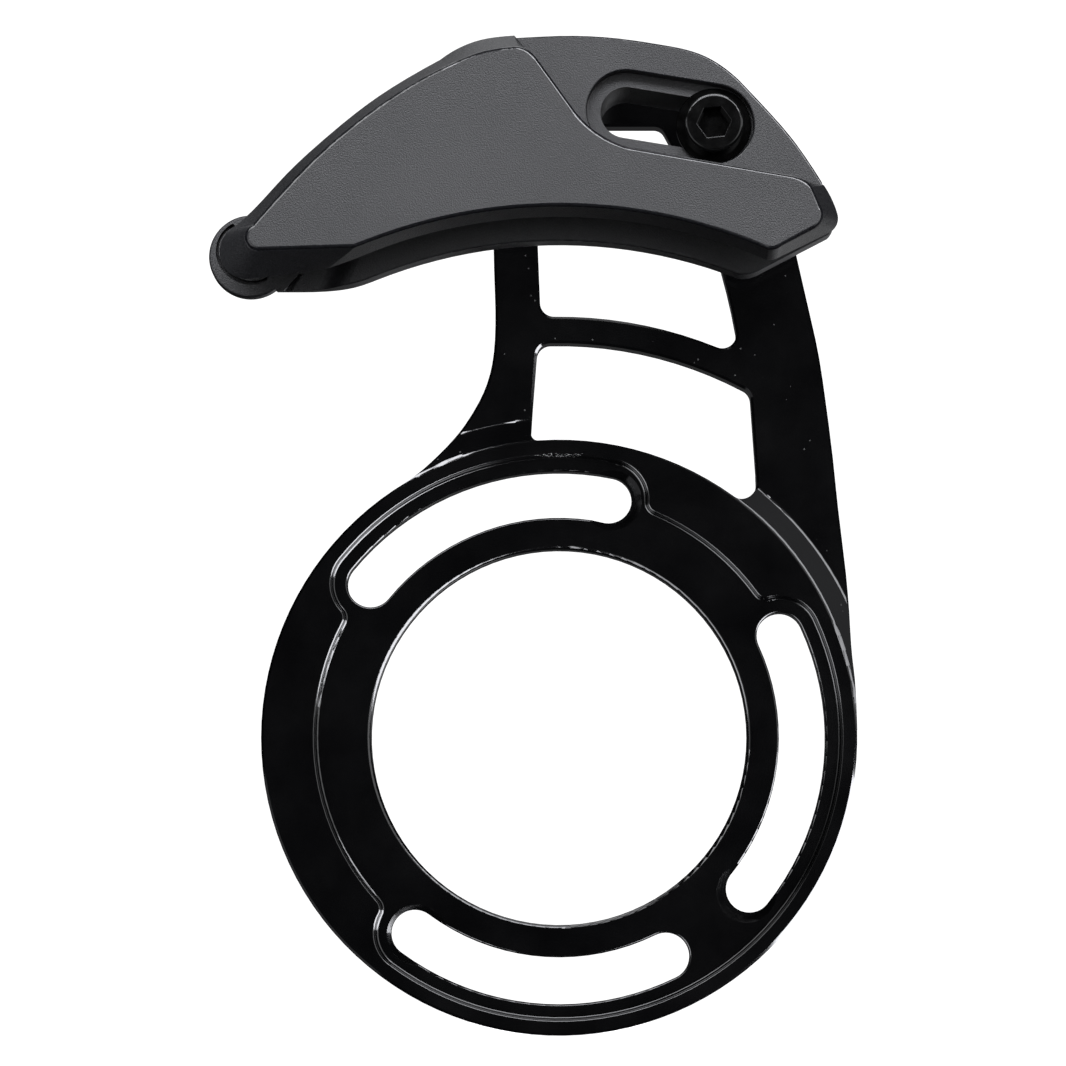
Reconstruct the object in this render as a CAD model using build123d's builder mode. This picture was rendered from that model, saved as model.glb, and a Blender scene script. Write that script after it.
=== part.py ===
from build123d import *
import math
import os

# Bicycle chain guide.  Millimetres.  X runs fore and aft, Z is up, and the
# front of the guide (the side that shows when it is on the bicycle) faces -Y.
# The origin is the centre of the bottom-bracket bore, on the back of the ring.
# Depths below are distances forward of that back face, along -Y.

# ---------------------------------------------------------------- backplate
bore_r = 25.8            # bottom-bracket bore
bore_radius = 0.5        # rounded front edge of the bore
ring_r = 40.9            # outside of the ring
ring_t = 4.0             # ring thickness
edge_break = 0.35        # broken edges of the plate
pocket_depth = 1.0       # shallow pocket on the ring's front face
pocket_lip = 0.25        # rounded lip of the pocket
pocket_slope = 16.0      # draft of the pocket's wall, degrees
pocket_radius = 0.3      # radius at the foot of the pocket's wall
pocket_r = 33.6          # pocket edge between the slots
ear_w = 10.9             # width of the pocket around a slot
ear_fillet = 1.5         # inside corner where an ear meets the round pocket

slot_r = 33.4            # centreline radius of the arc slots
slot_w = 6.4             # clearance for M6
slot_edge = 0.25         # rounded front edges of the slots
slot_arcs = ((-38.7, 63.2), (-126.4, 62.4), (78.2, 62.8))   # start, sweep
ear_arcs = ((-126.4, 150.9), (78.2, 62.8))
pilot_angles = (-39.8, -125.6, 77.4)    # countersunk end of each slot
pilot_r = 4.15
pilot_depth = 0.95

step = 2.6               # the arm stands this far forward of the ring
arm_t = 4.0              # arm thickness
arm_front = step + arm_t
ramp_radius = (0.7, 0.5) # at the foot and the top of the front ramp
back_ramp_r = 42.3       # where the back of the plate starts to ramp forward
root_r = 36.0            # the arm's root runs this far into the ring

bar_in = 54.0            # cross bar between the windows, inner radius
bar_out = 57.7           # and outer radius

# ------------------------------------------------------------- upper guide
slope = 9.4              # the clamping slot runs down to the right, degrees
slot_x, slot_z = 21.0, 81.95     # right-hand end of the slot's axis
bolt_x, bolt_z = slot_x, slot_z  # where the bolt sits
travel = 12.0            # of the guide along the slot
clamp_slot_w = 7.0       # through slot for the M5 bolt
cbore_r = 5.4            # counterbore round the slot
cbore_floor = 18.8

boss_back = 6.65         # back of the clamping boss, just off the arm
boss_w = 13.0
guide_back = 8.6         # back of the inner wall
flare_face = 11.0        # inner wall face at the flared mouth
inner_face = 13.0        # inner wall face in the channel
ramp_top, ramp_foot = -29.2, -33.2      # X of the ramp between the two
ramp_lean = 23.0         # the ramp leans forward as it rises, degrees
pad_face = 21.0          # clamping pad
outer_in = 22.5          # inside of the outer wall
panel_face = 26.0        # outside of the outer wall
panel_radius = 0.5       # soft edges of the panel
pad_radius = 0.3         # of the pad
rim_radius = 0.2         # and of its counterbore
skirt_radius = 0.35      # lower edges of the inner wall
outer_edge_r = 70.0      # lower edge of the panel
bevel_edge_r = 69.0      # and of the wider base that it bevels out to
inner_edge_r = 67.2      # lower edge of the inner wall
mouth_x, mouth_z, mouth_r = -42.25, 65.4, 5.7   # round end of the inner wall
groove_depth = 1.8       # of the narrow groove inside the lip
roof_left, roof_mid, roof_right = (-44.6, 65.4), (12.0, 76.3), (36.0, 72.5)

# The arm's straight top edge, and the rail on the guide that rides along it.
rail_edge = 5.0          # above the slot's axis
rail_gap = 0.25
rail_h = 2.0
rail_back = 3.6          # depth that the rail reaches back to
rail_from, rail_to = -24.0, -5.5

# -------------------------------------------------------------- fasteners
bolt_d = 5.0             # M5
head_d = 8.0
head_h = 2.8             # low head
hex_af = 4.0
hex_depth = 1.9
hex_turn = 6.0
washer_t = 0.8
washer_d = 10.2
washer_id = 5.3
seat_gap = 0.05          # between the washer and the counterbore floor
bolt_end = 2.8           # depth of the end of the thread

ux, uz = math.cos(math.radians(slope)), -math.sin(math.radians(slope))
nx, nz = -uz, ux         # across the clamping slot, upward


def along(distance, across):
    """A point from the slot's right end, along and across the slot."""
    return (slot_x + ux * distance + nx * across,
            slot_z + uz * distance + nz * across)


def off_slot(point):
    """Distance of a point from the clamping slot's centreline."""
    run = (point.X - slot_x) * ux + (point.Z - slot_z) * uz
    x, z = along(min(0.0, max(-travel, run)), 0)
    return math.hypot(point.X - x, point.Z - z)


def near(vertices, points, tol=3.0):
    """The sketch corners nearest to the given points."""
    found = []
    for px, pz in points:
        best = min(vertices, key=lambda v: math.hypot(v.X - px, v.Y - pz))
        if math.hypot(best.X - px, best.Y - pz) < tol:
            found.append(best)
    return found


def polar(radius, angle):
    return (radius * math.cos(math.radians(angle)),
            radius * math.sin(math.radians(angle)))


def arc_slot_outline(start, sweep_angle, width):
    """A slot of one width bent round the bore, with round ends."""
    end = start + sweep_angle
    outer = slot_r + width / 2
    inner = slot_r - width / 2
    ThreePointArc(polar(outer, start), polar(outer, start + sweep_angle / 2),
                  polar(outer, end))
    cx, cz = polar(slot_r, end)
    tx, tz = polar(width / 2, end + 90)
    ThreePointArc(polar(outer, end), (cx + tx, cz + tz), polar(inner, end))
    ThreePointArc(polar(inner, end), polar(inner, start + sweep_angle / 2),
                  polar(inner, start))
    cx, cz = polar(slot_r, start)
    tx, tz = polar(width / 2, start - 90)
    ThreePointArc(polar(inner, start), (cx + tx, cz + tz),
                  polar(outer, start))


def at_depth(edges, depth):
    """The edges that lie flat at one depth."""
    return edges.filter_by(
        lambda e: abs(e.bounding_box().min.Y + depth) < 1e-4
        and abs(e.bounding_box().max.Y + depth) < 1e-4)


head_corner = along(3.5, rail_edge)
head_left = along((-9.35 - slot_x - nx * rail_edge) / ux, rail_edge)

# =================================================================== plate
def arm_outline():
    """The arm from its root in the ring up to its head."""
    left = Spline(
        (-21.34, 34.88), (-18.6, 36.85), (-16.4, 38.8), (-14.2, 41.0),
        (-12.3, 43.6), (-10.3, 47.3), (-9.2, 51.0), (-8.75, 56.1),
        (-9.0, 67.4),
        tangents=[(0.853, 0.522), (head_left[0] + 9.0, head_left[1] - 67.4)])
    top = FilletPolyline(left @ 1, head_left, head_corner, (29.2, 78.0),
                         radius=(6.0, 3.5))
    right = Spline(
        top @ 1, (31.2, 72.5), (32.9, 65.5),
        (34.5, 58.3), (35.6, 53.2), (36.7, 45.8), (37.6, 38.4),
        (38.4, 30.3), (39.4, 21.5), (40.2, 11.0), (40.89, 0.8),
        tangents=[top % 1, (0.02, -1.0)])
    across = Line(right @ 1, (root_r, 0.8))
    root = ThreePointArc(
        across @ 1,
        (root_r * math.cos(math.radians(60)),
         root_r * math.sin(math.radians(60))),
        (root_r * math.cos(math.radians(121.5)),
         root_r * math.sin(math.radians(121.5))))
    Line(root @ 1, left @ 0)


def lower_window_outline():
    Polyline((-4.05, 39.0), (-2.75, 56.0), (25.7, 56.0), (27.5, 29.5),
             (22.0, 33.0), close=True)


def upper_window_outline():
    a = Line((-2.4, 55.0), (-2.9, 67.7))
    b = Line(a @ 1, (-2.9, 84.15))
    c = Line(b @ 1, (14.1, 84.15))
    d = ThreePointArc(c @ 1, (22.4, 64.3), (24.9, 52.0))
    Line(d @ 1, a @ 0)


# Windows: the lower one from the ring's rim to the cross bar, the upper one
# from the cross bar to the head.
with BuildSketch() as low_window:
    Circle(bar_in)
    Circle(ring_r, mode=Mode.SUBTRACT)
    with BuildLine():
        lower_window_outline()
    make_face(mode=Mode.INTERSECT)
    fillet(near(low_window.vertices(),
                [(-2.9, 53.9), (26.1, 47.3), (27.2, 31.0)]), 1.9)
    fillet(near(low_window.vertices(), [(-3.9, 41.0)]), 0.9)

with BuildSketch() as high_window:
    with BuildLine():
        upper_window_outline()
    make_face()
    Circle(bar_out, mode=Mode.SUBTRACT)
    fillet(near(high_window.vertices(), [(-2.5, 57.6), (24.4, 52.5)]), 1.9)
    fillet(near(high_window.vertices(), [(-2.9, 84.15), (14.1, 84.15)]), 1.6)

# The foot of the arm, behind the conical ramp.
with BuildPart() as arm_foot:
    with BuildSketch(Plane.XZ):
        with BuildLine():
            arm_outline()
        make_face()
        Circle(back_ramp_r + step, mode=Mode.INTERSECT)
        add(low_window.sketch, mode=Mode.SUBTRACT)
        add(high_window.sketch, mode=Mode.SUBTRACT)
    extrude(amount=step + 0.6)
    with BuildSketch(Plane.XY):
        with BuildLine():
            Polyline((back_ramp_r, 1), (back_ramp_r, 0),
                     (back_ramp_r + step, -step), (60, -step), (60, 1),
                     close=True)
        make_face()
    revolve(axis=Axis.Y, mode=Mode.SUBTRACT)

with BuildPart() as backplate:
    # Arm with its two windows and broken edges.
    with BuildSketch(Plane.XZ.offset(step)):
        with BuildLine():
            arm_outline()
        make_face()
        add(low_window.sketch, mode=Mode.SUBTRACT)
        add(high_window.sketch, mode=Mode.SUBTRACT)
    extrude(amount=arm_t)
    chamfer(at_depth(backplate.edges(), arm_front), edge_break)
    chamfer(at_depth(backplate.edges(), step), edge_break)

    # The arm ends at a conical ramp round the ring.
    with BuildSketch(Plane.XY):
        with BuildLine():
            face = FilletPolyline((0, -ring_t), (ring_r, -ring_t),
                                  (ring_r + step, -arm_front),
                                  (ring_r + step + 4, -arm_front),
                                  radius=ramp_radius)
            Polyline(face @ 1, (ring_r + step + 4, -arm_front - 1),
                     (0, -arm_front - 1), face @ 0)
        make_face()
    revolve(axis=Axis.Y, mode=Mode.SUBTRACT)
    add(arm_foot.part)

    # Ring, with broken rims.
    with BuildSketch(Plane.XY):
        with BuildLine():
            Polyline((bore_r, 0), (ring_r - edge_break, 0),
                     (ring_r, -edge_break), (ring_r, -ring_t + edge_break),
                     (ring_r - edge_break, -ring_t), (bore_r, -ring_t),
                     close=True)
        make_face()
    revolve(axis=Axis.Y)

    # Tapped hole for the clamp bolt.
    with BuildSketch(Plane.XZ):
        with Locations((bolt_x, bolt_z)):
            Circle(bolt_d / 2)
    extrude(amount=arm_front, mode=Mode.SUBTRACT)

    # Pocket round the slots, with a rounded lip and a radius at its floor.
    with BuildSketch(Plane.XZ.offset(ring_t)) as pocket:
        Circle(pocket_r)
        for start, sweep_angle in ear_arcs:
            with BuildLine():
                arc_slot_outline(start, sweep_angle, ear_w)
            make_face()
        fillet([v for v in pocket.vertices()
                if abs(math.hypot(v.X, v.Y) - pocket_r) < 1e-3], ear_fillet)
    extrude(amount=-pocket_depth, taper=pocket_slope, mode=Mode.SUBTRACT)
    floor_edges = at_depth(backplate.edges(), ring_t - pocket_depth).filter_by(
        lambda e: (e @ 0.5).X ** 2 + (e @ 0.5).Z ** 2 > (bore_r + 3) ** 2)
    fillet(floor_edges, pocket_radius)
    lip_edges = at_depth(backplate.edges(), ring_t).filter_by(
        lambda e: (bore_r + 3) ** 2
        < (e @ 0.5).X ** 2 + (e @ 0.5).Z ** 2 < (ring_r - 1) ** 2)
    fillet(lip_edges, pocket_lip)
    fillet(at_depth(backplate.edges(), ring_t - pocket_depth).filter_by(
        lambda e: (e @ 0.5).X ** 2 + (e @ 0.5).Z ** 2 < (bore_r + 1) ** 2),
        bore_radius)

    # Arc slots with rounded edges, each with one countersunk end.
    with BuildSketch(Plane.XZ):
        for start, sweep_angle in slot_arcs:
            with BuildLine():
                arc_slot_outline(start, sweep_angle, slot_w)
            make_face()
    extrude(amount=ring_t, mode=Mode.SUBTRACT)
    fillet(at_depth(backplate.edges(Select.LAST), ring_t - pocket_depth),
           slot_edge)
    for angle in pilot_angles:
        with BuildSketch(Plane.XZ.offset(ring_t - pocket_depth)):
            with Locations(polar(slot_r, angle)):
                Circle(pilot_r)
        extrude(amount=-pilot_depth, taper=45, mode=Mode.SUBTRACT)

# =================================================================== guide
# Outlines of the guide.  The panel bevels out to a wider base all round, but
# for the side next to the clamping pad, which the two share.
lower_right = (28.05, 64.14)
tail = ((-3.0, 90.15), (2.0, 83.15), (5.42, 79.82), (9.8, 77.9),
        (31.4, 74.1), (32.8, 73.5), (33.8, 72.45), (35.1, 69.45),
        (35.05, 68.0), (34.15, 66.94), (29.95, 64.68), (29.0, 64.2))


def pad_side(start):
    s7 = Line(start, tail[1])
    s8 = ThreePointArc(s7 @ 1, tail[2], tail[3])
    return [s7, s8, Line(s8 @ 1, tail[4])]


def panel_outline():
    s1 = ThreePointArc(lower_right, (0, outer_edge_r), (-27.0, 64.58))
    s2 = Line(s1 @ 1, (-39.9, 64.25))
    s3 = ThreePointArc(s2 @ 1, (-41.75, 66.2), (-40.7, 67.5))
    s4 = Spline(s3 @ 1, (-36.7, 72.2), (-31.7, 77.35), (-25.2, 82.75),
                (-18.6, 87.1), (-14.8, 89.05))
    s5 = Spline(s4 @ 1, (-11.05, 90.6), (-8.0, 91.3), (-5.4, 91.5),
                tangents=[s4 % 1, (1, 0)])
    s6 = ThreePointArc(s5 @ 1, (-4.05, 91.09), tail[0])
    s7, s8, s9 = pad_side(s6 @ 1)
    s10 = ThreePointArc(s9 @ 1, tail[5], tail[6])
    s11 = Line(s10 @ 1, tail[7])
    s12 = ThreePointArc(s11 @ 1, tail[8], tail[9])
    s13 = Line(s12 @ 1, tail[10])
    s14 = ThreePointArc(s13 @ 1, tail[11], lower_right)
    return [s1, s2, s3, s4, s5, s6, s7, s8, s9, s10, s11, s12, s13, s14]


def roof_line():
    """Upper left edge of the guide, from the mouth to the pad."""
    r1 = Spline((-44.2, 67.35), (-41.8, 69.4), (-37.0, 74.6), (-31.6, 79.7),
                (-25.1, 84.95), (-18.7, 89.0), (-16.0, 90.5))
    r2 = Spline(r1 @ 1, (-13.3, 92.2), (-10.6, 93.2), (-7.9, 93.65),
                (-6.0, 93.8))
    return [r1, r2]


def base_outline():
    s1 = Spline(*[polar(bevel_edge_r, a) for a in (66.1, 78.0, 90.0, 102.0,
                                                   110.0, 113.4)],
                (-31.0, 62.05))
    s2 = Spline(s1 @ 1, (-34.4, 61.5), (-40.9, 60.7))
    s3 = ThreePointArc(s2 @ 1, (-45.7, 64.6), (-44.2, 67.35))
    s4, s5 = roof_line()
    s6 = Line(s5 @ 1, tail[0])
    s7, s8, s9 = pad_side(s6 @ 1)
    s10 = Line(s9 @ 1, (35.75, 73.3))
    s11 = Spline(s10 @ 1, (36.9, 71.2), (37.55, 69.4))
    s12 = ThreePointArc(s11 @ 1, (37.45, 67.9), (36.4, 66.8))
    s13 = Line(s12 @ 1, (29.7, 63.5))
    s14 = ThreePointArc(s13 @ 1, (28.9, 63.15), s1 @ 0)
    return [s1, s2, s3, s4, s5, s6, s7, s8, s9, s10, s11, s12, s13, s14]


def pad_outline():
    """Roof and clamping pad, above the chain."""
    a = ThreePointArc(roof_right, roof_mid, roof_left)
    Line(a @ 1, (-44.2, 67.35))
    b = roof_line()
    c = Spline(b[1] @ 1, (0.2, 94.1), (8.4, 93.7), (13.7, 92.9), (19.2, 91.55),
               (23.0, 89.25), (24.55, 87.85),
               tangents=[(1, 0.05), (0.7, -0.71)])
    d = Spline(c @ 1, (28.35, 83.75), (31.8, 79.65), (34.6, 75.55),
               (35.5, 74.1))
    Line(d @ 1, a @ 0)


def skirt_outline():
    """Inner wall below the roof, from the mouth round to the right end."""
    a = ThreePointArc((24.6, 62.53), (0, inner_edge_r), (-25.1, 62.34))
    b = Spline(a @ 1, (-28.2, 61.3), (-31.9, 60.8), (-38.6, 60.7),
               tangents=[a % 1, (-1, 0)])
    c = Polyline(b @ 1, (-41.0, 63.0), (-40.0, 68.5), (-20.0, 76.5),
                 (18.0, 79.0), (24.6, 85.9))
    d = Spline(c @ 1, (27.5, 83.4), (30.7, 80.0), (33.8, 76.6), (35.7, 74.2),
               (37.0, 72.2), (37.6, 70.3),
               tangents=[(0.75, -0.66), (0.02, -1)])
    e = ThreePointArc(d @ 1, (37.5, 69.0), (36.8, 68.0))
    f = Line(e @ 1, (27.6, 63.2))
    ThreePointArc(f @ 1, (26.1, 62.6), a @ 0)


# Outer wall: the bevelled panel, with straight ruled sides between the two
# outlines.
with BuildLine():
    base_edges = [Edge(e.moved(Plane.XZ.offset(outer_in).location).wrapped)
                  for e in base_outline()]
with BuildLine():
    panel_edges = [Edge(e.moved(Plane.XZ.offset(panel_face).location).wrapped)
                   for e in panel_outline()]
outer_wall = Solid(Shell(
    [Face.make_surface_from_curves(b, p)
     for b, p in zip(base_edges, panel_edges)]
    + [Face(Wire(base_edges)), Face(Wire(panel_edges))]))

with BuildPart() as upper_guide:
    # Inner wall below the roof, with rounded lower edges.
    with BuildSketch(Plane.XZ.offset(guide_back)):
        with BuildLine():
            skirt_outline()
        make_face()
    extrude(amount=inner_face - guide_back)
    fillet([e for e in at_depth(upper_guide.edges(), inner_face)
            + at_depth(upper_guide.edges(), guide_back)
            if e.geom_type == GeomType.CIRCLE
            or (e @ 0.5).X > 25 or (e @ 0.5).Z < 62], skirt_radius)

    # At the mouth its face stands back, with a ramp up to the channel, and
    # it ends in a round lip.
    with BuildSketch(Plane.XY.offset(60)):
        with BuildLine():
            a = Spline((ramp_top, -inner_face), (ramp_foot, -flare_face),
                       tangents=[(-1, 0.08), (-1, 0.08)])
            Polyline(a @ 1, (-60, -flare_face), (-60, -inner_face - 1),
                     (ramp_top, -inner_face - 1), a @ 0)
        make_face()
    extrude(amount=60, dir=(math.sin(math.radians(ramp_lean)), 0,
                            math.cos(math.radians(ramp_lean))),
            mode=Mode.SUBTRACT)
    with BuildSketch(Plane.XY.offset(mouth_z)) as lip:
        with BuildLine():
            Polyline((mouth_x, -guide_back), (mouth_x + mouth_r, -guide_back),
                     (mouth_x + mouth_r, -flare_face), (mouth_x, -flare_face),
                     close=True)
        make_face()
        fillet(lip.vertices().group_by(Axis.X)[-1], 0.35)
    revolve(axis=Axis((mouth_x, 0, mouth_z), (0, 1, 0)))

    # A narrow groove runs round inside the lip, and a relief parts the lip
    # from the skirt.
    with BuildSketch(Plane.XZ.offset(flare_face - groove_depth)):
        with BuildLine():
            g1 = Spline((-39.9, 62.6), (-43.0, 62.15), (-45.7, 63.95),
                        (-46.6, 66.2), (-46.1, 68.05), (-44.35, 69.55))
            g2 = Line(g1 @ 1, (-44.65, 69.95))
            g3 = Spline(g2 @ 1, (-46.45, 68.25), (-47.0, 66.2), (-46.2, 63.6),
                        (-43.0, 61.55), (-39.9, 62.1))
            Line(g3 @ 1, g1 @ 0)
        make_face()
    extrude(amount=groove_depth + 1, mode=Mode.SUBTRACT)
    with BuildSketch(Plane.XZ.offset(guide_back + 0.8)):
        with BuildLine():
            Polyline((-38.3, 60.0), (-36.9, 60.0), (-35.1, 62.9),
                     (-35.5, 63.0), close=True)
        make_face()
    extrude(amount=inner_face - guide_back, mode=Mode.SUBTRACT)

    # Roof above the chain, out to the outer wall, and the clamping pad
    # beside it.
    with BuildSketch(Plane.XZ.offset(guide_back)):
        with BuildLine():
            base_outline()
        make_face()
        with BuildLine():
            pad_outline()
        make_face(mode=Mode.INTERSECT)
    extrude(amount=outer_in - guide_back)
    with BuildSketch(Plane.XZ.offset(guide_back)):
        with BuildLine():
            pad_outline()
        make_face()
        with BuildLine():
            base_outline()
        make_face(mode=Mode.SUBTRACT)
    extrude(amount=pad_face - guide_back)
    add(outer_wall)

    # Boss that the bolt clamps against the arm, and the rail above it that
    # keeps the guide from turning on its one bolt.
    with BuildSketch(Plane.XZ.offset(boss_back)):
        with Locations(Location((*along(-travel / 2, 0), 0), (0, 0, -slope))):
            SlotCenterToCenter(travel, boss_w)
    extrude(amount=guide_back - boss_back + 0.5)
    with BuildSketch(Plane.XZ.offset(rail_back)):
        with BuildLine():
            Polyline(along(rail_from, rail_edge + rail_gap),
                     along(rail_to, rail_edge + rail_gap),
                     along(rail_to, rail_edge + rail_gap + rail_h),
                     along(rail_from, rail_edge + rail_gap + rail_h),
                     close=True)
        make_face()
    extrude(amount=guide_back - rail_back + 0.5)

    # Clamping slot, counterbored for the washer and bolt head.
    with BuildSketch(Plane.XZ.offset(cbore_floor)):
        with Locations(Location((*along(-travel / 2, 0), 0), (0, 0, -slope))):
            SlotCenterToCenter(travel, 2 * cbore_r)
    extrude(amount=pad_face - cbore_floor, mode=Mode.SUBTRACT)
    with BuildSketch(Plane.XZ):
        with Locations(Location((*along(-travel / 2, 0), 0), (0, 0, -slope))):
            SlotCenterToCenter(travel, clamp_slot_w)
    extrude(amount=pad_face, mode=Mode.SUBTRACT)

    # Soft moulded edges: the panel's rim, the counterbore's and the pad's.
    fillet(at_depth(upper_guide.edges(), panel_face), panel_radius)
    fillet(at_depth(upper_guide.edges(), pad_face).filter_by(
        lambda e: off_slot(e @ 0.5) < cbore_r + 0.1), rim_radius)
    fillet(at_depth(upper_guide.edges(), pad_face).filter_by(
        lambda e: (e @ 0.5).X > 5 and (e @ 0.5).Z > 80
        and off_slot(e @ 0.5) > cbore_r + rim_radius + 0.1), pad_radius)

# =============================================================== fasteners
under_head = cbore_floor + seat_gap + washer_t
with BuildPart() as clamp_washer:
    with BuildSketch(Plane.XZ.offset(cbore_floor + seat_gap)):
        with Locations((bolt_x, bolt_z)):
            Circle(washer_d / 2)
            Circle(washer_id / 2, mode=Mode.SUBTRACT)
    extrude(amount=washer_t)
    chamfer(clamp_washer.edges().filter_by(GeomType.CIRCLE), 0.12)

with BuildPart() as clamp_bolt:
    with BuildSketch(Plane.XZ.offset(bolt_end)):
        with Locations((bolt_x, bolt_z)):
            Circle(bolt_d / 2)
    extrude(amount=under_head - bolt_end)
    chamfer(at_depth(clamp_bolt.edges(), bolt_end), 0.5)
    with BuildSketch(Plane.XZ.offset(under_head)):
        with Locations((bolt_x, bolt_z)):
            Circle(head_d / 2)
    extrude(amount=head_h)
    fillet(at_depth(clamp_bolt.edges(), under_head + head_h), 0.45)
    with BuildSketch(Plane.XZ.offset(under_head + head_h)):
        with Locations((bolt_x, bolt_z)):
            RegularPolygon(hex_af / 2, 6, major_radius=False,
                           rotation=hex_turn)
    extrude(amount=-hex_depth, mode=Mode.SUBTRACT)
    fillet(at_depth(clamp_bolt.edges(), under_head + head_h).filter_by(
        GeomType.LINE), 0.12)

backplate.part.label = "backplate"
upper_guide.part.label = "upper_guide"
clamp_washer.part.label = "clamp_washer"
clamp_bolt.part.label = "clamp_bolt"

os.makedirs("parts", exist_ok=True)
export_step(backplate.part, "parts/backplate.step")
export_step(upper_guide.part, "parts/upper_guide.step")
export_step(clamp_washer.part, "parts/clamp_washer.step")
export_step(clamp_bolt.part, "parts/clamp_bolt.step")
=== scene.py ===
import math

import bpy
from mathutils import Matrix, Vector


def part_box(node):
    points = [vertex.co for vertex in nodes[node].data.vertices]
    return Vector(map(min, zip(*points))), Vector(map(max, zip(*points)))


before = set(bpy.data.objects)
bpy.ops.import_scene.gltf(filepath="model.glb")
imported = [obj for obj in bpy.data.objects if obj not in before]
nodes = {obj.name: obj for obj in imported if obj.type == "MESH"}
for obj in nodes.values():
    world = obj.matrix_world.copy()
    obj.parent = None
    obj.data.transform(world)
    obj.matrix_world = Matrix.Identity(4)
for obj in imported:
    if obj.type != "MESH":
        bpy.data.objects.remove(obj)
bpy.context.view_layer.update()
scene = bpy.context.scene


# ------------------------------------------------------------ node helpers
def new_material(name):
    mat = bpy.data.materials.new(name)
    mat.use_nodes = True
    tree = mat.node_tree
    tree.nodes.clear()
    out = tree.nodes.new("ShaderNodeOutputMaterial")
    bsdf = tree.nodes.new("ShaderNodeBsdfPrincipled")
    tree.links.new(bsdf.outputs["BSDF"], out.inputs["Surface"])
    return mat, tree, bsdf


def node(tree, kind, **settings):
    n = tree.nodes.new(kind)
    for key, value in settings.items():
        setattr(n, key, value)
    return n


def link(tree, a, b):
    tree.links.new(a, b)


def noise(tree, coords, scale, detail=2.0, roughness=0.5):
    n = node(tree, "ShaderNodeTexNoise")
    n.inputs["Scale"].default_value = scale
    n.inputs["Detail"].default_value = detail
    n.inputs["Roughness"].default_value = roughness
    link(tree, coords, n.inputs["Vector"])
    return n.outputs["Fac"]


def ramp(tree, source, stops):
    """Colour ramp; stops are (position, grey or colour)."""
    r = node(tree, "ShaderNodeValToRGB")
    elements = r.color_ramp.elements
    while len(elements) < len(stops):
        elements.new(0.5)
    for e, (position, value) in zip(elements, stops):
        e.position = position
        colour = value if hasattr(value, "__len__") else (value,) * 3
        e.color = (*colour, 1.0)
    link(tree, source, r.inputs["Fac"])
    return r.outputs["Color"]


def math_node(tree, operation, a, b=None):
    n = node(tree, "ShaderNodeMath", operation=operation)
    for socket, value in zip(n.inputs, (a, b)):
        if value is None:
            continue
        if hasattr(value, "is_output"):
            link(tree, value, socket)
        else:
            socket.default_value = value
    return n.outputs[0]


def mix_colour(tree, factor, a, b):
    n = node(tree, "ShaderNodeMix", data_type="RGBA")
    for socket, value in ((n.inputs[0], factor), (n.inputs[6], a),
                          (n.inputs[7], b)):
        if hasattr(value, "is_output"):
            link(tree, value, socket)
        elif hasattr(value, "__len__"):
            socket.default_value = (*value, 1.0)
        else:
            socket.default_value = value
    return n.outputs[2]


def bump(tree, height, strength, distance, normal=None):
    n = node(tree, "ShaderNodeBump")
    n.inputs["Strength"].default_value = strength
    n.inputs["Distance"].default_value = distance
    link(tree, height, n.inputs["Height"])
    if normal is not None:
        link(tree, normal, n.inputs["Normal"])
    return n.outputs["Normal"]


# --------------------------------------------------------------- materials
def moulded_plastic():
    """Dark grey moulding with a fine spark-eroded grain."""
    mat, tree, bsdf = new_material("moulded_plastic")
    coords = node(tree, "ShaderNodeTexCoord").outputs["Object"]
    grain = noise(tree, coords, 5000.0, 2.0, 0.6)
    cloud = noise(tree, coords, 60.0, 3.0, 0.5)
    tone = ramp(tree, grain, [(0.32, (0.0030, 0.0031, 0.0040)),
                              (0.68, (0.0150, 0.0153, 0.0175))])
    shade = ramp(tree, cloud, [(0.3, 0.94), (0.7, 1.05)])
    n = node(tree, "ShaderNodeMix", data_type="RGBA", blend_type="MULTIPLY")
    n.inputs[0].default_value = 1.0
    link(tree, tone, n.inputs[6])
    link(tree, shade, n.inputs[7])
    link(tree, n.outputs[2], bsdf.inputs["Base Color"])
    # The rounded rims of the panel and the pad are burnished smoother than
    # their faces.
    apart = node(tree, "ShaderNodeSeparateXYZ")
    link(tree, coords, apart.inputs[0])
    rim = node(tree, "ShaderNodeMapRange")
    link(tree, apart.outputs["Y"], rim.inputs["Value"])
    rim.inputs["From Min"].default_value = -0.0255
    rim.inputs["From Max"].default_value = -0.0260
    rim = ramp(tree, rim.outputs["Result"],
               [(0.25, 0.0), (0.45, 1.0), (0.996, 1.0), (1.0, 0.0)])
    pad = node(tree, "ShaderNodeMapRange")
    link(tree, apart.outputs["Y"], pad.inputs["Value"])
    pad.inputs["From Min"].default_value = -0.0207
    pad.inputs["From Max"].default_value = -0.0210
    pad = ramp(tree, pad.outputs["Result"],
               [(0.0, 0.0), (0.2, 1.0), (0.992, 1.0), (1.0, 0.0)])
    pad = math_node(tree, "MULTIPLY", pad, math_node(
        tree, "GREATER_THAN", apart.outputs["X"], -0.004))
    rim = math_node(tree, "MAXIMUM", rim, pad)
    matt = ramp(tree, cloud, [(0.3, 0.46), (0.7, 0.53)])
    link(tree, mix_colour(tree, rim, matt, (0.2, 0.2, 0.2)),
         bsdf.inputs["Roughness"])
    height = math_node(tree, "MULTIPLY", grain,
                       math_node(tree, "SUBTRACT", 1.0, rim))
    link(tree, bump(tree, height, 0.6, 0.00013), bsdf.inputs["Normal"])
    bsdf.inputs["Specular IOR Level"].default_value = 0.6
    return mat


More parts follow.
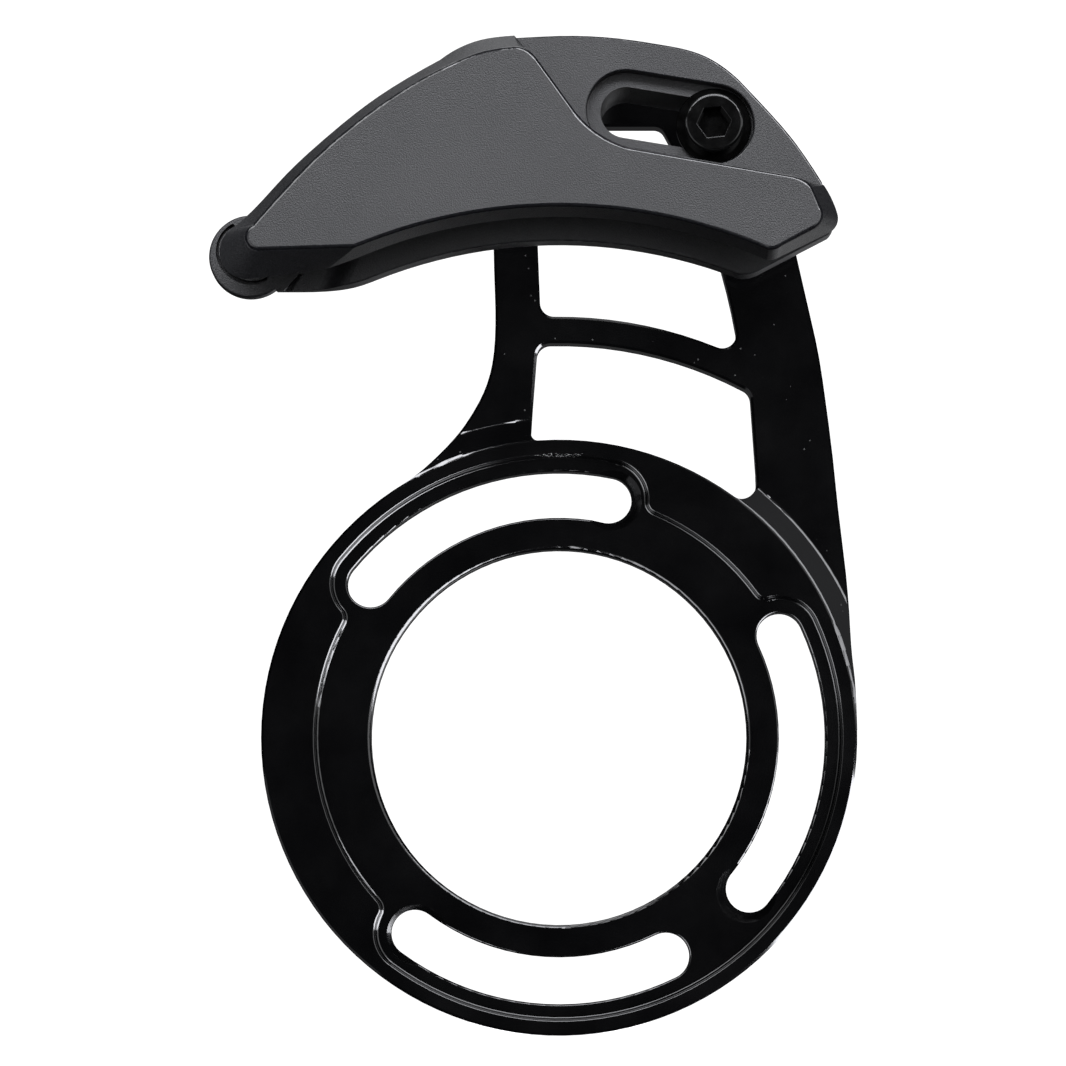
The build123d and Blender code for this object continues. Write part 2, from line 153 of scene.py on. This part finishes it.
def black_anodised():
    """Gloss black anodised plate."""
    mat, tree, bsdf = new_material("black_anodised")
    coords = node(tree, "ShaderNodeTexCoord").outputs["Object"]
    cloud = noise(tree, coords, 90.0, 4.0, 0.6)
    fine = noise(tree, coords, 3000.0, 2.0, 0.5)
    black = ramp(tree, cloud, [(0.3, (0.0003, 0.0003, 0.00034)),
                               (0.7, (0.0005, 0.0005, 0.00055))])
    # A few specks of dust, and a worn spot on the pocket's lip at the top.
    cells = node(tree, "ShaderNodeTexVoronoi")
    cells.inputs["Scale"].default_value = 900.0
    link(tree, coords, cells.inputs["Vector"])
    dust = math_node(tree, "MULTIPLY",
                     math_node(tree, "LESS_THAN", cells.outputs["Distance"],
                               0.12),
                     math_node(tree, "GREATER_THAN", cells.outputs["Color"],
                               0.72))
    apart = node(tree, "ShaderNodeSeparateXYZ")
    link(tree, coords, apart.inputs[0])
    spot = None
    for axis, centre, half in (("X", -0.0002, 0.0095), ("Z", 0.0388, 0.0007)):
        away = math_node(tree, "DIVIDE", math_node(
            tree, "SUBTRACT", apart.outputs[axis], centre), half)
        away = math_node(tree, "MULTIPLY", away, away)
        spot = away if spot is None else math_node(tree, "ADD", spot, away)
    spot = ramp(tree, spot, [(0.0, 1.0), (1.0, 0.0)])
    spot = math_node(tree, "MULTIPLY", spot, math_node(
        tree, "LESS_THAN", apart.outputs["Y"], -0.0028))
    worn = math_node(tree, "GREATER_THAN", math_node(
        tree, "MULTIPLY", spot, noise(tree, coords, 4500.0, 3.0, 0.7)), 0.56)
    black = mix_colour(tree, dust, black, (0.018, 0.018, 0.018))
    black = mix_colour(tree, worn, black, (0.10, 0.10, 0.10))
    link(tree, black, bsdf.inputs["Base Color"])
    gloss = ramp(tree, cloud, [(0.3, 0.10), (0.7, 0.14)])
    link(tree, mix_colour(tree, worn, gloss, (0.5, 0.5, 0.5)),
         bsdf.inputs["Roughness"])
    link(tree, bump(tree, fine, 0.05, 0.00002), bsdf.inputs["Normal"])
    bsdf.inputs["Specular IOR Level"].default_value = 0.45
    return mat


def black_steel(name, level):
    """Black oxide steel."""
    mat, tree, bsdf = new_material(name)
    coords = node(tree, "ShaderNodeTexCoord").outputs["Object"]
    cloud = noise(tree, coords, 700.0, 3.0, 0.6)
    link(tree, ramp(tree, cloud, [(0.3, 0.7 * level), (0.7, 1.3 * level)]),
         bsdf.inputs["Base Color"])
    link(tree, ramp(tree, cloud, [(0.3, 0.09), (0.7, 0.15)]),
         bsdf.inputs["Roughness"])
    bsdf.inputs["Specular IOR Level"].default_value = 0.3
    return mat


finishes = {
    "backplate": black_anodised(),
    "upper_guide": moulded_plastic(),
    "clamp_bolt": black_steel("bolt_black_oxide", 0.0018),
    "clamp_washer": black_steel("washer_black_oxide", 0.0015),
}
for name, mat in finishes.items():
    mesh = nodes[name].data
    mesh.materials.clear()
    mesh.materials.append(mat)


# ------------------------------------------------------------------ camera
camera_data = bpy.data.cameras.new("camera")
camera = bpy.data.objects.new("camera", camera_data)
scene.collection.objects.link(camera)
eye = Vector((0.0, -0.700, -0.0388))
pitch, yaw = math.radians(5.48), math.radians(-0.294)
look = Vector((math.sin(yaw) * math.cos(pitch),
               math.cos(yaw) * math.cos(pitch), math.sin(pitch)))
camera.location = eye
camera.rotation_euler = look.to_track_quat("-Z", "Y").to_euler()
camera_data.sensor_fit = "HORIZONTAL"
camera_data.angle = math.radians(11.979)
camera_data.clip_start = 0.01
camera_data.clip_end = 50.0
scene.camera = camera


# ------------------------------------------------------------ floor, lights
def plane(name, z, half):
    mesh = bpy.data.meshes.new(name)
    mesh.from_pydata([(-half, -half, z), (half, -half, z), (half, half, z),
                      (-half, half, z)], [], [(0, 1, 2, 3)])
    obj = bpy.data.objects.new(name, mesh)
    scene.collection.objects.link(obj)
    return obj


floor = plane("floor", -0.0414, 6.0)
mat, tree, bsdf = new_material("pale_floor")
coords = node(tree, "ShaderNodeTexCoord").outputs["Object"]
link(tree, ramp(tree, noise(tree, coords, 3.0), [(0.3, 0.84), (0.7, 0.88)]),
     bsdf.inputs["Base Color"])
bsdf.inputs["Roughness"].default_value = 0.9
bsdf.inputs["Specular IOR Level"].default_value = 0.1
away = node(tree, "ShaderNodeVectorMath", operation="LENGTH")
link(tree, coords, away.inputs[0])
bsdf.inputs["Emission Color"].default_value = (1.0, 1.0, 1.0, 1.0)
far = node(tree, "ShaderNodeMapRange", interpolation_type="SMOOTHSTEP")
link(tree, away.outputs["Value"], far.inputs["Value"])
far.inputs["From Min"].default_value = 0.1
far.inputs["From Max"].default_value = 0.6
far.inputs["To Min"].default_value = 0.42
far.inputs["To Max"].default_value = 1.1
link(tree, far.outputs["Result"], bsdf.inputs["Emission Strength"])
floor.data.materials.append(mat)
floor.visible_glossy = False
floor.visible_diffuse = False
floor.visible_shadow = False

world = bpy.data.worlds.new("studio")
scene.world = world
world.use_nodes = True
tree = world.node_tree
tree.nodes.clear()
out = tree.nodes.new("ShaderNodeOutputWorld")
seen = tree.nodes.new("ShaderNodeBackground")
seen.inputs["Color"].default_value = (1.0, 1.0, 1.0, 1.0)
seen.inputs["Strength"].default_value = 1.15
around = tree.nodes.new("ShaderNodeBackground")
around.inputs["Color"].default_value = (0.97, 0.978, 1.0, 1.0)
# A dark studio with soft cards: overhead, in front to the right and to the
# left, high on the left, low behind on the right, and a dim backdrop.
toward = tree.nodes.new("ShaderNodeTexCoord").outputs["Generated"]


def card(direction, start, full, level):
    facing = tree.nodes.new("ShaderNodeVectorMath")
    facing.operation = "DOT_PRODUCT"
    facing.inputs[1].default_value = Vector(direction).normalized()
    tree.links.new(toward, facing.inputs[0])
    fall = tree.nodes.new("ShaderNodeMapRange")
    fall.interpolation_type = "SMOOTHSTEP"
    fall.inputs["From Min"].default_value = start
    fall.inputs["From Max"].default_value = full
    fall.inputs["To Min"].default_value = 0.0
    fall.inputs["To Max"].default_value = level
    tree.links.new(facing.outputs["Value"], fall.inputs["Value"])
    return fall.outputs["Result"]


level = 0.003
for place in (((-0.05, 0.36, 0.93), 0.84, 0.99, 2.3),
              ((0.537, -0.835, 0.125), 0.88, 0.99, 2.35),
              ((-0.526, -0.836, -0.153), 0.88, 0.99, 1.5),
              ((-0.46, -0.67, 0.58), 0.965, 0.995, 7.0),
              ((0.65, 0.65, -0.40), 0.80, 0.97, 1.3),
              ((0.0, 1.0, -0.1), 0.80, 0.97, 0.05)):
    level = math_node(tree, "ADD", card(*place), level)
tree.links.new(level, around.inputs["Strength"])
pick = tree.nodes.new("ShaderNodeMixShader")
path = tree.nodes.new("ShaderNodeLightPath")
tree.links.new(path.outputs["Is Camera Ray"], pick.inputs[0])
tree.links.new(around.outputs[0], pick.inputs[1])
tree.links.new(seen.outputs[0], pick.inputs[2])
tree.links.new(pick.outputs[0], out.inputs["Surface"])


def softbox(name, place, toward, width, height, power):
    data = bpy.data.lights.new(name, "AREA")
    data.shape = "RECTANGLE"
    data.size = width
    data.size_y = height
    data.energy = power
    data.color = (0.945, 0.955, 1.0)
    obj = bpy.data.objects.new(name, data)
    scene.collection.objects.link(obj)
    obj.location = place
    direction = Vector(toward) - Vector(place)
    obj.rotation_euler = direction.to_track_quat("-Z", "Y").to_euler()
    return obj


middle = (0.0, -0.012, 0.03)
softbox("light_key", (0.15, -1.05, 0.74), middle, 1.2, 0.35, 18.5)

# Lights on the plate alone or the bolt alone, for the bright lines along their
# rounded edges: turn round the bore from +X, turn towards the front, width,
# height, power.
for target, name, turn, front, width, height, power in (
        ("backplate", "edge_low_right", -30.0, 28.0, 1.6, 0.75, 90.0),
        ("backplate", "edge_low_left", -152.0, 2.0, 0.35, 0.85, 0.44),
        ("backplate", "edge_left", -150.0, 40.0, 0.7, 0.75, 14.0),
        ("backplate", "edge_top", 80.0, 30.0, 0.9, 0.6, 8.0),
        ("clamp_bolt", "bolt_top", 90.0, 28.0, 0.9, 0.3, 20.0),
        ("clamp_bolt", "bolt_left", 170.0, 26.0, 0.4, 0.3, 1.5),
        ("clamp_bolt", "bolt_right", 10.0, 26.0, 0.4, 0.3, 1.5)):
    turn, front = math.radians(turn), math.radians(front)
    low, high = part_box(target)
    centre = (low + high) / 2 if target == "clamp_bolt" else Vector()
    place = centre + Vector((math.cos(turn) * math.cos(front),
                             -math.sin(front),
                             math.sin(turn) * math.cos(front)))
    light = softbox(name, place, centre, width, height, power)
    only = bpy.data.collections.new(name)
    only.objects.link(nodes[target])
    light.light_linking.receiver_collection = only
    light.light_linking.blocker_collection = only

scene.view_settings.view_transform = "Standard"
scene.view_settings.look = "None"
